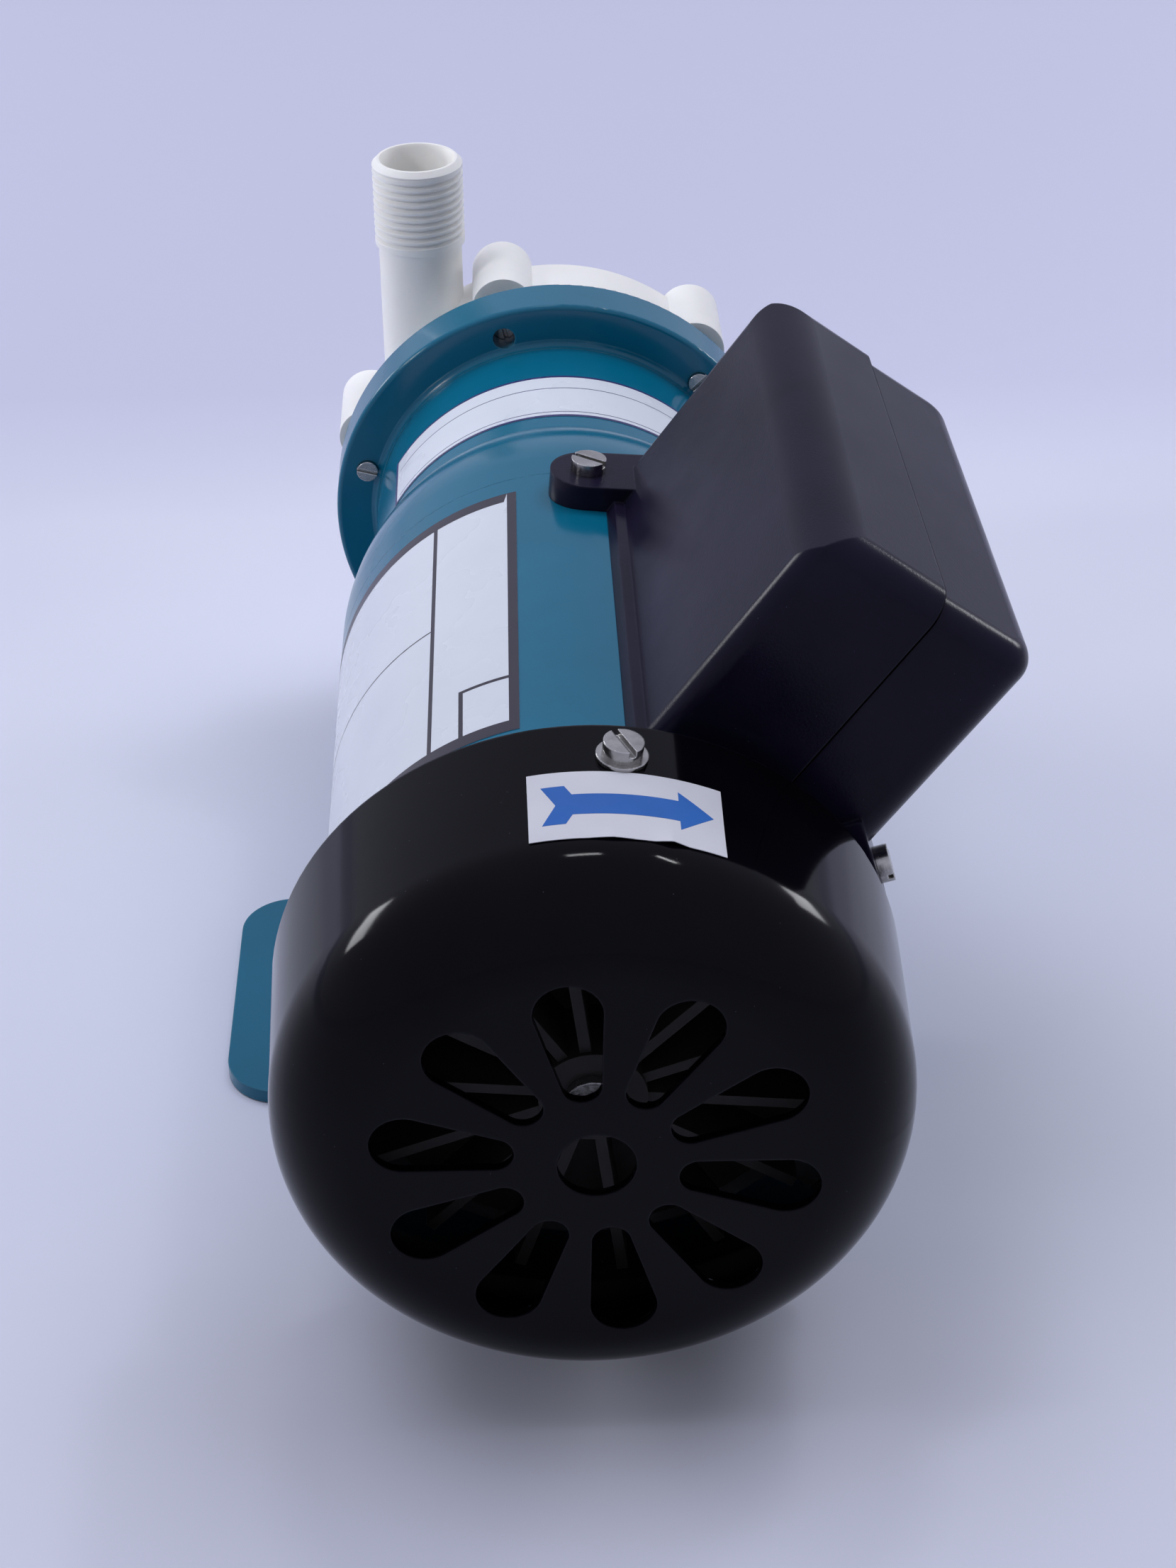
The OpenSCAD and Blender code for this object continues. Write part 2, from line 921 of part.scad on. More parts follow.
module rear_casing() {
  color("#eceae4")
    difference() {
      union() {
        on_shaft() {
          drum(casing_r, flange_front, split_s);
          drum(cavity_r + 3 - fit_gap, flange_front - register_t, split_s);
          drum(can_r, can_end, split_s);
        }
        at_studs()
          drum(boss_r, split_s - lobe_t, split_s);
      }
      on_shaft()
        difference() {
          union() {
            drum(can_r - can_wall, can_end + can_floor, split_s + 1);
            drum(pocket_r, wheel_back - 1.5, split_s + 1);
          }
          drum(spindle_r + 4, can_end, spindle_back + 7);
        }
      on_shaft()
        drum(spindle_r, spindle_back, split_s);
      on_shaft()
        rotate_extrude()
          translate([oring_r - 1.3, split_s - 2 * oring_t])
            square([2.6, 3]);
      at_studs()
        drum(stud_r + hole_gap, flange_front - 1, split_s + 1);
    }
}

// Threaded pipe end with a chamfered mouth, standing on the origin
module pipe_end(length) {
  cylinder(r = thread_r, h = length - mouth_chamfer);
  translate([0, 0, length - mouth_chamfer])
    cylinder(r1 = thread_r, r2 = thread_r - mouth_chamfer, h = mouth_chamfer);
}

// Casing with an offset chamber, an upright discharge and a suction spigot whose spider holds the spindle
module front_casing() {
  color("#eceae4")
    difference() {
      union() {
        on_shaft() {
          rotate_extrude()
            intersection() {
              translate([-casing_r, split_s - 20])
                soft_rect(0, 0, 2 * casing_r, front_casing_t + 20, 5);
              translate([0, split_s])
                square([casing_r + 1, front_casing_t + 1]);
            }
          drum(suction_hub_r, head_s - 2, suction_hub_s);
        }
        on_shaft(suction_hub_s - 1)
          pipe_end(suction_end - suction_hub_s + 1);
        at_studs()
          drum(boss_r, split_s, boss_s);
        translate([-pipe_x, pipe_s - foot_s, shaft_height]) {
          translate([0, 0, -8])
            cylinder(r = pipe_r, h = pipe_top);
          translate([0, 0, pipe_top - thread_len])
            pipe_end(thread_len);
        }
      }
      at_studs() {
        drum(stud_r + hole_gap, split_s - 1, head_s + 1);
        drum(5.6, boss_s, head_s + 1);
      }
      on_shaft() {
        translate([-chamber_shift, 0, 0])
          drum(chamber_r, split_s - 1, split_s + chamber_depth);
        drum(port_r, inlet_s - 1, suction_end + 1);
        difference() {
          drum(inlet_r, split_s, inlet_s);
          drum(spindle_boss_r, thrust_s + thrust_t, head_s);
          for (a = [30 : 120 : 270])
            toward(a)
              translate([0, -1.5, split_s + chamber_depth])
                cube([inlet_r + 2, 3, front_casing_t - chamber_depth]);
        }
      }
      translate([-pipe_x, pipe_s - foot_s, shaft_height]) {
        cylinder(r = throat_r, h = pipe_top);
        translate([0, 0, throat_h])
          cylinder(r = port_r, h = pipe_top);
      }
      on_shaft()
        drum(spindle_r, split_s, spindle_front);
    }
}

module casing_oring() {
  color("#1a1a1a")
    on_shaft(split_s - oring_t)
      rotate_extrude()
        translate([oring_r, 0])
          circle(r = oring_t);
}

// One stud sits deeper in the flange than the others
module casing_studs() {
  color("#c9ccd0")
    for (i = [0 : 5])
      on_shaft()
        toward(stud_phase + i * 60)
          translate([stud_circle_r, 0, 0])
            difference() {
              drum(stud_r - fit_gap, flange_back + (i == 1 ? 5 : -1), boss_s + nut_h + 2.5);
              translate([-3, -0.4, 0])
                cube([6, 0.8, flange_back + (i == 1 ? 6 : 0)]);
            }
}

module casing_washers() {
  color("#c9ccd0")
    at_studs()
      translate([0, 0, boss_s])
        ring(5, stud_r + 0.15, 1);
}

module casing_nuts() {
  color("#c9ccd0")
    at_studs()
      translate([0, 0, boss_s + 1])
        difference() {
          cylinder(r = 4.6, h = nut_h, $fn = 6);
          translate([0, 0, -1])
            cylinder(r = stud_r, h = nut_h + 2);
        }
}

module impeller_spindle() {
  color("#e6e2d6")
    on_shaft()
      drum(spindle_r, spindle_back, spindle_front);
}

module thrust_ring() {
  color("#d9d4c4")
    on_shaft(thrust_s)
      ring(spindle_boss_r, spindle_r, thrust_t);
}

module motor_shaft() {
  color("#b8bcc2")
    on_shaft() {
      drum(shaft_r - 1, blade_front - 3, shell_start + 1);
      drum(shaft_r, shell_start, web_s + 1);
      drum(shaft_r + 1, core_s - 8, core_s + core_len + 8);
      drum(shaft_r - 0.5, web_s, drive_floor - 2);
    }
}

module rotor_core() {
  color("#6f7377")
    on_shaft(core_s)
      ring(rotor_r, shaft_r + 1, core_len);
}

module rotor_end_rings() {
  color("#c2c6ca")
    for (s = [core_s - 6, core_s + core_len])
      on_shaft(s)
        ring(rotor_r - 1, rotor_r - 10, 6);
}

module cooling_fan() {
  color("#3a3a3c")
    on_shaft()
      difference() {
        union() {
          drum(fan_hub_r, blade_front - 1, blade_front + blade_depth + 2);
          drum(fan_r, blade_front + blade_depth, blade_front + blade_depth + 2);
          for (i = [0 : blade_count - 1])
            toward(blade_phase + i * 360 / blade_count)
              translate([fan_hub_r - 1, -blade_t / 2, blade_front])
                cube([fan_r - fan_hub_r + 1, blade_t, blade_depth + 1]);
        }
        drum(shaft_r - 1, 0, cover_depth);
      }
}

module drive_hub() {
  color("#8c9196")
    difference() {
      on_shaft()
        rotate_extrude()
          difference() {
            union() {
              translate([0, hub_s])
                square([hub_r, drive_floor - hub_s]);
              translate([0, drive_floor - hub_floor])
                square([drive_r, hub_floor]);
              translate([drive_r - rim_t, drive_floor - hub_floor])
                square([rim_t, flange_front - rim_back - drive_floor + hub_floor]);
            }
            square([shaft_r - 0.5, flange_front]);
          }
      at_set_screw()
        cylinder(r = stud_r, h = 20);
    }
}

module at_set_screw() {
  outward(90, hub_s + 5)
    translate([0, 0, shaft_r - 0.5])
      children();
}

module hub_set_screw() {
  color("#3c3f42")
    at_set_screw()
      difference() {
        cylinder(r = stud_r - fit_gap, h = set_screw_len);
        translate([0, 0, set_screw_len - set_screw_socket])
          cylinder(r = 1.4, h = set_screw_len, $fn = 6);
      }
}

module drive_magnets() {
  r1 = drive_r - rim_t;
  color("#4a4d52")
    on_shaft(drive_floor + magnet_gap)
      for (i = [0 : magnet_count - 1])
        toward(i * 360 / magnet_count)
          intersection() {
            ring(r1, r1 - magnet_t, flange_front - magnet_back - drive_floor - magnet_gap);
            rotate([0, 0, -180 / magnet_count + 1])
              cube([100, 100, 200]);
            rotate([0, 0, 180 / magnet_count - 1 - 90])
              cube([100, 100, 200]);
          }
}

module impeller() {
  color("#dedbd2")
    on_shaft()
      difference() {
        union() {
          drum(impeller_r, wheel_back, wheel_back + shroud_t);
          translate([0, 0, wheel_back + wheel_t - shroud_t])
            ring(impeller_r, eye_r, shroud_t);
          translate([0, 0, wheel_back + wheel_t - 1])
            ring(eye_r + 2, eye_r, 3);
          drum(bush_r + 2, sleeve_back, wheel_back + 8);
          drum(bush_r + 8, sleeve_front - 1, wheel_back + 1);
          translate([0, 0, sleeve_back])
            ring(sleeve_r, sleeve_r - sleeve_wall, sleeve_front - sleeve_back);
          drum(sleeve_r, sleeve_front - cap_t, sleeve_front);
          translate([0, 0, wheel_back + 1])
            linear_extrude(wheel_t - 2)
              intersection() {
                difference() {
                  circle(r = impeller_r - 0.5);
                  circle(r = eye_r + 0.5);
                }
                for (i = [0 : vane_count - 1])
                  toward(i * 360 / vane_count)
                    translate([13, 15])
                      difference() {
                        circle(r = 20);
                        circle(r = 18);
                        translate([-40, -22])
                          square([40, 60]);
                      }
              }
        }
        drum(bush_r, 0, suction_end);
      }
}

module driven_magnet() {
  color("#4a4d52")
    on_shaft(sleeve_back + cap_t)
      ring(sleeve_r - sleeve_wall, bush_r + 2, sleeve_front - sleeve_back - 2 * cap_t);
}

module magnet_cap() {
  color("#dedbd2")
    on_shaft(sleeve_back)
      ring(sleeve_r - sleeve_wall, bush_r + 2, cap_t);
}

module impeller_bush() {
  color("#2f2f31")
    on_shaft(sleeve_back - 1)
      ring(bush_r, spindle_r + running_gap, thrust_s - 0.5 - sleeve_back + 1);
}

motor_shell();
mounting_foot();
pump_bracket();
rear_end_shield();
stator_core();
stator_winding();
front_bearing();
rear_bearing();
fan_cover();
fan_cover_washers();
fan_cover_screws();
box_left_shell();
box_right_shell();
box_screws();
run_capacitor();
terminal_block();
cable_grommet();
rear_casing();
front_casing();
casing_oring();
casing_studs();
casing_washers();
casing_nuts();
impeller_spindle();
thrust_ring();
motor_shaft();
rotor_core();
rotor_end_rings();
cooling_fan();
drive_hub();
drive_magnets();
hub_set_screw();
impeller();
driven_magnet();
magnet_cap();
impeller_bush();
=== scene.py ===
"""Looks of the magnetic drive pump: paint, plastics, metal, pipe threads, labels, light and camera."""
import json
import math

import bmesh
import bpy
from mathutils import Matrix, Vector


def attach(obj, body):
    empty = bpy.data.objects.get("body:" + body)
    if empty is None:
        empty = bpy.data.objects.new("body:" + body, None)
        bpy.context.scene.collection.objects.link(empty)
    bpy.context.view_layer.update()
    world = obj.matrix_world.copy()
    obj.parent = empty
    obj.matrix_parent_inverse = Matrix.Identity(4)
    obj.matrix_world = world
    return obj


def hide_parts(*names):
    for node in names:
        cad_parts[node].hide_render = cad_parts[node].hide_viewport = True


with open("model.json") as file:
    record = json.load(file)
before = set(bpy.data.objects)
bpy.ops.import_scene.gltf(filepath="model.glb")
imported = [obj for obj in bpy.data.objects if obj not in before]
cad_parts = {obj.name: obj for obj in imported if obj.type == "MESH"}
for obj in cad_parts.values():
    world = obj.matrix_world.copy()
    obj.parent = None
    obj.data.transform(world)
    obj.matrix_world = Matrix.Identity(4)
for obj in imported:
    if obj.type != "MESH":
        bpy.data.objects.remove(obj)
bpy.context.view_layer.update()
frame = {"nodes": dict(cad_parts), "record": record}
NODES = frame["nodes"]

MM = 0.001
FOOT_STATION = 126.0   # mm from the face of the fan cover to the middle of the foot
SHAFT_Z = 63.0         # mm above the mounting plane


def on_shaft(angle, radius, station):
    """Point about the shaft: angle anticlockwise from the right, radius and station in mm."""
    a = math.radians(angle)
    return Vector((radius * math.cos(a), station - FOOT_STATION, SHAFT_Z + radius * math.sin(a))) * MM


def srgb(r, g, b):
    """Linear colour of an 8 bit screen colour."""
    def lin(c):
        c /= 255
        return c / 12.92 if c <= 0.04045 else ((c + 0.055) / 1.055) ** 2.4
    return (lin(r), lin(g), lin(b), 1.0)


# Node helpers

def add(tree, kind, inputs=None, **props):
    """New node with its properties set and its inputs set or linked."""
    node = tree.nodes.new(kind)
    for key, value in props.items():
        setattr(node, key, value)
    for key, value in (inputs or {}).items():
        if isinstance(value, bpy.types.NodeSocket):
            tree.links.new(value, node.inputs[key])
        else:
            node.inputs[key].default_value = value
    return node


def noise(tree, coords, scale, detail=3.0, rough=0.5):
    return add(tree, "ShaderNodeTexNoise", {
        "Vector": coords, "Scale": scale, "Detail": detail, "Roughness": rough}).outputs["Fac"]


NOISE_RANGE = 0.3, 0.7   # where most of a noise texture's values lie


def two_tones(tree, value, tones):
    """Colour that runs from the first tone to the second as a noise value grows."""
    node = add(tree, "ShaderNodeValToRGB", {"Fac": value})
    for element, position, tone in zip(node.color_ramp.elements, NOISE_RANGE, tones):
        element.position = position
        element.color = tone
    return node.outputs["Color"]


def spread(tree, value, low, high, start=NOISE_RANGE[0], end=NOISE_RANGE[1], **settings):
    """Value mapped from the range start to end onto low to high."""
    return add(tree, "ShaderNodeMapRange", {
        "Value": value, "From Min": start, "From Max": end, "To Min": low, "To Max": high},
        **settings).outputs["Result"]


def blend(tree, factor, a, b):
    node = add(tree, "ShaderNodeMix", data_type="RGBA")
    tree.links.new(factor, node.inputs[0])
    for socket, value in ((node.inputs[6], a), (node.inputs[7], b)):
        if isinstance(value, bpy.types.NodeSocket):
            tree.links.new(value, socket)
        else:
            socket.default_value = value
    return node.outputs[2]


def math_node(tree, operation, *values):
    return add(tree, "ShaderNodeMath", dict(enumerate(values)), operation=operation).outputs["Value"]


def dot(tree, a, b):
    return add(tree, "ShaderNodeVectorMath", {0: a, 1: b}, operation="DOT_PRODUCT").outputs["Value"]


# Materials

# Limits and patch scale for the edge tone, which paints rounded edges lighter: partly wear, partly painted
# highlight.
EDGE_TONE_FULL, EDGE_TONE_NONE = 0.80, 0.99   # how far the rounded normal agrees with the flat one
EDGE_PATCH_SCALE = 160.0
COAT_ROUGHNESS = 0.08
SCATTER_WEIGHT, SCATTER_COLOUR = 0.3, (1.0, 0.9, 0.75)


def surface(name, tones, rough, metallic=0.0, tone_scale=35.0, grain_scale=1500.0, grain_mm=0.01,
            round_mm=0.3, edge_wear_and_highlight=None, stretch=(1, 1, 1), coat=0.0, specular=0.5, speck=None,
            joint=None, scatter_mm=0.0):
    """Material with clouded colour, varied roughness, fine grain and soft edges.

    tones are the two colours of the clouds, rough is the lowest and highest roughness.
    The edge tone is the lighter colour of rounded edges: partly wear, partly painted highlight.
    speck is the colour, scale and share of small specks.
    The joint shade is the colour, plane normal, offset and half width of a dark line painted along a seam
    as shade in its groove.
    scatter_mm is how deep light scatters below the surface.
    """
    mat = bpy.data.materials.new(name)
    mat.use_nodes = True
    tree = mat.node_tree
    bsdf = tree.nodes["Principled BSDF"]
    place = add(tree, "ShaderNodeTexCoord").outputs["Object"]
    if stretch != (1, 1, 1):
        place = add(tree, "ShaderNodeMapping", {"Vector": place, "Scale": stretch}).outputs["Vector"]
    colour = two_tones(tree, noise(tree, place, tone_scale, 4.0, 0.6), tones)
    soft = add(tree, "ShaderNodeBevel", {"Radius": round_mm * MM}, samples=4).outputs["Normal"]
    # Rounded edges blend toward the edge tone in patches: partly wear, partly painted highlight standing in
    # for glints.
    if edge_wear_and_highlight:
        flat = add(tree, "ShaderNodeNewGeometry").outputs["Normal"]
        edge = spread(tree, dot(tree, soft, flat), 1.0, 0.0, EDGE_TONE_FULL, EDGE_TONE_NONE)
        patches = spread(tree, noise(tree, place, EDGE_PATCH_SCALE, 4.0), 0.15, 1.0)
        colour = blend(tree, math_node(tree, "MULTIPLY", edge, patches), colour, edge_wear_and_highlight)
    if speck:
        tone, scale, share = speck
        cells = add(tree, "ShaderNodeTexVoronoi", {"Vector": place, "Scale": scale}).outputs["Distance"]
        colour = blend(tree, spread(tree, cells, 1.0, 0.0, share * 0.6, share), colour, tone)
    gloss = spread(tree, noise(tree, place, tone_scale * 3, 3.0), *rough)
    # Painted shade: a near-black, fully rough line along the seam groove.
    if joint:
        tone, normal, offset_mm, half_mm = joint
        line = math_node(tree, "COMPARE", dot(tree, place, normal), offset_mm * MM, half_mm * MM)
        colour = blend(tree, line, colour, tone)
        gloss = math_node(tree, "MAXIMUM", gloss, line)
    tree.links.new(colour, bsdf.inputs["Base Color"])
    tree.links.new(gloss, bsdf.inputs["Roughness"])
    grain = noise(tree, place, grain_scale, 2.0)
    bump = add(tree, "ShaderNodeBump", {
        "Strength": 1.0, "Distance": grain_mm * MM, "Height": grain, "Normal": soft})
    tree.links.new(bump.outputs["Normal"], bsdf.inputs["Normal"])
    bsdf.inputs["Metallic"].default_value = metallic
    bsdf.inputs["Specular IOR Level"].default_value = specular
    bsdf.inputs["Coat Weight"].default_value = coat
    bsdf.inputs["Coat Roughness"].default_value = COAT_ROUGHNESS
    if scatter_mm:
        bsdf.inputs["Subsurface Weight"].default_value = SCATTER_WEIGHT
        bsdf.inputs["Subsurface Radius"].default_value = SCATTER_COLOUR
        bsdf.inputs["Subsurface Scale"].default_value = scatter_mm * MM
    return mat


# Plane of the seam groove on the box, where a dark line of painted shade is drawn.
BOX_SEAM = (0.808, 0.037, -0.587), -33.2, 0.36   # normal, offset and half width of the seam, mm

# The edge tones below make rounded edges lighter: partly wear, partly painted highlight.
SURFACES = {
    "teal_paint": surface(
        "teal_paint", (srgb(4, 97, 126), srgb(9, 107, 138)), (0.13, 0.24), tone_scale=18.0,
        grain_scale=520.0, grain_mm=0.012, round_mm=0.5, edge_wear_and_highlight=srgb(72, 146, 170), coat=0.1,
        specular=0.3),
    "cast_aluminium": surface(
        "cast_aluminium", (srgb(168, 170, 174), srgb(190, 192, 195)), (0.38, 0.55), metallic=1.0,
        grain_scale=900.0, grain_mm=0.05, round_mm=0.5),
    "core_steel": surface(
        "core_steel", (srgb(92, 95, 99), srgb(116, 119, 123)), (0.35, 0.5), metallic=1.0,
        grain_scale=400.0, grain_mm=0.03, stretch=(1, 12, 1)),
    "winding_copper": surface(
        "winding_copper", (srgb(140, 70, 32), srgb(184, 104, 52)), (0.25, 0.4), metallic=0.4,
        grain_scale=260.0, grain_mm=0.2, stretch=(3, 0.6, 3)),
    "bearing_steel": surface(
        "bearing_steel", (srgb(188, 190, 194), srgb(206, 208, 211)), (0.12, 0.22), metallic=1.0,
        grain_scale=1800.0, grain_mm=0.004),
    "cover_black": surface(
        "cover_black", (srgb(4, 3, 7), srgb(9, 8, 14)), (0.06, 0.12), tone_scale=22.0,
        grain_scale=260.0, grain_mm=0.008, round_mm=0.6, edge_wear_and_highlight=srgb(26, 24, 36), specular=0.09,
        speck=(srgb(60, 58, 68), 260.0, 0.03)),
    "bright_steel": surface(
        "bright_steel", (srgb(150, 148, 145), srgb(190, 188, 185)), (0.14, 0.30), metallic=1.0,
        tone_scale=240.0, grain_scale=2600.0, grain_mm=0.012, round_mm=0.35, edge_wear_and_highlight=srgb(228, 228, 226)),
    # Box: the near-black seam line is painted shade in the groove; the edge tone is partly painted
    # highlight.
    "box_black": surface(
        "box_black", (srgb(22, 20, 36), srgb(31, 28, 48)), (0.17, 0.27), tone_scale=28.0,
        grain_scale=2200.0, grain_mm=0.02, round_mm=0.6, edge_wear_and_highlight=srgb(46, 43, 64), specular=0.1,
        speck=(srgb(72, 69, 92), 300.0, 0.03), joint=(srgb(2, 2, 3), *BOX_SEAM)),
    "capacitor_white": surface(
        "capacitor_white", (srgb(206, 206, 200), srgb(222, 222, 216)), (0.3, 0.42), grain_mm=0.01),
    "block_cream": surface(
        "block_cream", (srgb(198, 190, 164), srgb(214, 206, 182)), (0.35, 0.5), grain_mm=0.02),
    "seal_rubber": surface(
        "seal_rubber", (srgb(24, 24, 25), srgb(36, 36, 37)), (0.6, 0.8), grain_scale=2500.0, grain_mm=0.04),
    "head_white": surface(
        "head_white", (srgb(241, 240, 236), srgb(250, 249, 246)), (0.36, 0.5), tone_scale=26.0,
        grain_scale=700.0, grain_mm=0.02, round_mm=0.12, edge_wear_and_highlight=srgb(252, 251, 249), scatter_mm=0.8),
    "ceramic_ivory": surface(
        "ceramic_ivory", (srgb(216, 210, 196), srgb(230, 225, 212)), (0.12, 0.2), grain_mm=0.004),
    "fan_black": surface(
        "fan_black", (srgb(46, 44, 44), srgb(60, 58, 57)), (0.5, 0.7), grain_scale=1400.0, grain_mm=0.04,
        edge_wear_and_highlight=srgb(104, 100, 98)),
    "magnet_grey": surface(
        "magnet_grey", (srgb(72, 74, 78), srgb(96, 98, 102)), (0.3, 0.45), metallic=0.7, grain_mm=0.02),
    "bush_carbon": surface(
        "bush_carbon", (srgb(36, 36, 38), srgb(50, 50, 52)), (0.35, 0.5), grain_mm=0.015),
}
LABEL_WHITE = surface(
    "label_white", (srgb(214, 220, 230), srgb(226, 231, 240)), (0.22, 0.34), tone_scale=16.0,
    grain_scale=900.0, grain_mm=0.004, round_mm=0.05)
LABEL_DARK = surface(
    "label_dark", (srgb(38, 32, 46), srgb(48, 42, 56)), (0.25, 0.38), tone_scale=30.0,
    grain_scale=900.0, grain_mm=0.004, round_mm=0.05)
LABEL_NAVY = surface(
    "label_navy", (srgb(34, 30, 92), srgb(44, 40, 106)), (0.25, 0.38), tone_scale=30.0,
    grain_scale=900.0, grain_mm=0.004, round_mm=0.05)
ARROW_PAPER = surface(
    "arrow_paper", (srgb(206, 207, 216), srgb(220, 221, 228)), (0.5, 0.62), tone_scale=24.0,
    grain_scale=1600.0, grain_mm=0.012, round_mm=0.05)
ARROW_BLUE = surface(
    "arrow_blue", (srgb(20, 92, 176), srgb(28, 104, 190)), (0.5, 0.62), tone_scale=40.0,
    grain_scale=1600.0, grain_mm=0.012, round_mm=0.05)

for part in frame["record"]["subparts"]:
    shape = NODES[part["node"]].data
    shape.materials.clear()
    shape.materials.append(SURFACES[part["material_slot"]])


# Mesh helpers

def new_object(name, data):
    obj = bpy.data.objects.new(name, data)
    bpy.context.scene.collection.objects.link(obj)
    return obj


def mesh_from(name, verts, faces, materials=(), indices=None):
    mesh = bpy.data.meshes.new(name)
    mesh.from_pydata([tuple(v) for v in verts], [], faces)
    for mat in materials:
        mesh.materials.append(mat)
    if indices:
        mesh.polygons.foreach_set("material_index", indices)
    mesh.validate()
    mesh.update()
    return mesh


def face_outward(mesh):
    bm = bmesh.new()
    bm.from_mesh(mesh)
    bmesh.ops.recalc_face_normals(bm, faces=bm.faces)
    bm.to_mesh(mesh)
    bm.free()


def smooth(mesh, angle=32.0):
    mesh.polygons.foreach_set("use_smooth", [True] * len(mesh.polygons))
    mesh.set_sharp_from_angle(angle=math.radians(angle))
    mesh.update()


class Sheets:
    """Thin curved sheets on surfaces of revolution about the shaft, gathered into one mesh."""

    def __init__(self, radius_at):
        self.radius_at = radius_at
        self.verts, self.faces, self.mats = [], [], []

    def add(self, place, nu, nv, levels, mat):
        """Closed sheet over place(u, v) -> (angle, station, lift), between two levels in mm."""
        base = len(self.verts)
        for level in levels:
            for i in range(nu + 1):
                for j in range(nv + 1):
                    angle, station, lift = place(i / nu, j / nv)
                    self.verts.append(on_shaft(angle, self.radius_at(station) + level + lift, station))
        layer = (nu + 1) * (nv + 1)

        def index(i, j, k):
            return base + k * layer + i * (nv + 1) + j
        found = []
        for i in range(nu):
            for j in range(nv):
                square = (i, j), (i + 1, j), (i + 1, j + 1), (i, j + 1)
                found.append([index(*corner, 1) for corner in square])
                found.append([index(*corner, 0) for corner in (square[0], *square[:0:-1])])
        for i in range(nu):
            found.append([index(i, 0, 0), index(i + 1, 0, 0), index(i + 1, 0, 1), index(i, 0, 1)])
            found.append([index(i, nv, 1), index(i + 1, nv, 1), index(i + 1, nv, 0), index(i, nv, 0)])
        for j in range(nv):
            found.append([index(0, j, 1), index(0, j + 1, 1), index(0, j + 1, 0), index(0, j, 0)])
            found.append([index(nu, j, 0), index(nu, j + 1, 0), index(nu, j + 1, 1), index(nu, j, 1)])
        self.faces += found
        self.mats += [mat] * len(found)

    def quad(self, corners, levels, mat, nu, nv, lift=None):
        """Sheet between four corners (angle, station): start low, end low, end high, start high."""
        (a0, s0), (a1, s1), (a2, s2), (a3, s3) = corners

        def place(u, v):
            angle = (1 - v) * ((1 - u) * a0 + u * a1) + v * ((1 - u) * a3 + u * a2)
            station = (1 - v) * ((1 - u) * s0 + u * s1) + v * ((1 - u) * s3 + u * s2)
            return angle, station, lift(angle, station) if lift else 0.0
        self.add(place, nu, nv, levels, mat)

    def make(self, name, materials):
        mesh = mesh_from(name, self.verts, self.faces, materials, self.mats)
        face_outward(mesh)
        smooth(mesh)
        obj = new_object(name, mesh)
        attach(obj, "pump_body")


# Labels

# Radii and stations in mm, angles in degrees
SHELL_R, NECK_R = 48.4, 42.4
COVER_R, COVER_EDGE_R, COVER_SHOULDER, COVER_DEPTH = 55.7, 56.85, 17.0, 47.8
FILM, FILM_INK = (0.02, 0.12), (0.10, 0.135)     # lowest and highest level above the surface
PAPER, PAPER_INK = (0.02, 0.14), (0.13, 0.165)
BASE, PRINT = 0, 1                               # material of the sheet and of what is on it


def cover_radius(station):
    """Outside radius of the fan cover: round shoulder, then a slight cone."""
    if station < COVER_SHOULDER:
        return COVER_R - COVER_SHOULDER + math.sqrt(COVER_SHOULDER ** 2 - (COVER_SHOULDER - station) ** 2)
    return COVER_R + (COVER_EDGE_R - COVER_R) * (station - COVER_SHOULDER) / (COVER_DEPTH - COVER_SHOULDER)


def band(sheets, a0, a1, s0, s1, levels, mat, skew=0.0, step=2.0):
    """Rectangle in angle and station; skew turns its ends by that many degrees over its length."""
    nu = max(1, round(abs(a1 - a0) / step))
    sheets.quad([(a0 + skew, s0), (a1 + skew, s0), (a1, s1), (a0, s1)], levels, mat, nu=nu, nv=1)


def nameplate():
    """White plate label with a dark frame and a ruled, empty layout."""
    sheets = Sheets(lambda s: SHELL_R)
    right, left, near, far = 102.3, 228.0, 62.2, 150.2
    skew, rim = 0.8, 3.3
    deg = math.degrees(1 / SHELL_R)
    side, rule = 1.9 * deg, 0.9 * deg
    title, cell_side, cell_end = 122.9, 115.8, 116.2
    cell_near, cell_far = 79.8, 80.7
    column_near, column_far = 107.6, 108.0
    band(sheets, right, left, near, far, FILM, BASE, skew)
    band(sheets, right, right + side, near, far, FILM_INK, PRINT, skew)
    band(sheets, left - side, left, near, far, FILM_INK, PRINT, skew)
    band(sheets, right + side, left - side, near, near + rim, FILM_INK, PRINT, skew)
    band(sheets, right + side, left - side, far - rim, far, FILM_INK, PRINT, skew)
    band(sheets, title, title + rule, near + rim, far - rim, FILM_INK, PRINT, skew)
    band(sheets, right + side, cell_end, cell_near, cell_far, FILM_INK, PRINT)
    band(sheets, cell_side, cell_side + rule, near + rim, cell_far, FILM_INK, PRINT)
    band(sheets, title + rule, left - side, column_near, column_far, FILM_INK, PRINT)
    sheets.make("nameplate_label", [LABEL_WHITE, LABEL_DARK])


def neck_label():
    """White strip label round the neck with navy lines along its edges."""
    sheets = Sheets(lambda s: NECK_R)
    left, right, near, far = 150.0, 30.0, 193.6, 213.4
    deg = math.degrees(1 / NECK_R)
    thick, inset = 0.75, 2.0
    band(sheets, right, left, near, far, FILM, BASE)
    band(sheets, right, left, near, near + thick, FILM_INK, PRINT)
    band(sheets, right, left, far - thick, far, FILM_INK, PRINT)
    band(sheets, right, right + thick * deg, near + thick, far - thick, FILM_INK, PRINT)
    band(sheets, left - thick * deg, left, near + thick, far - thick, FILM_INK, PRINT)
    for low, high in ((near + 2.0, near + 2.25), (far - 6.2, far - 5.95)):
        band(sheets, right + inset * deg, left - inset * deg, low, high, FILM_INK, PRINT)
    sheets.make("neck_label", [LABEL_WHITE, LABEL_NAVY])


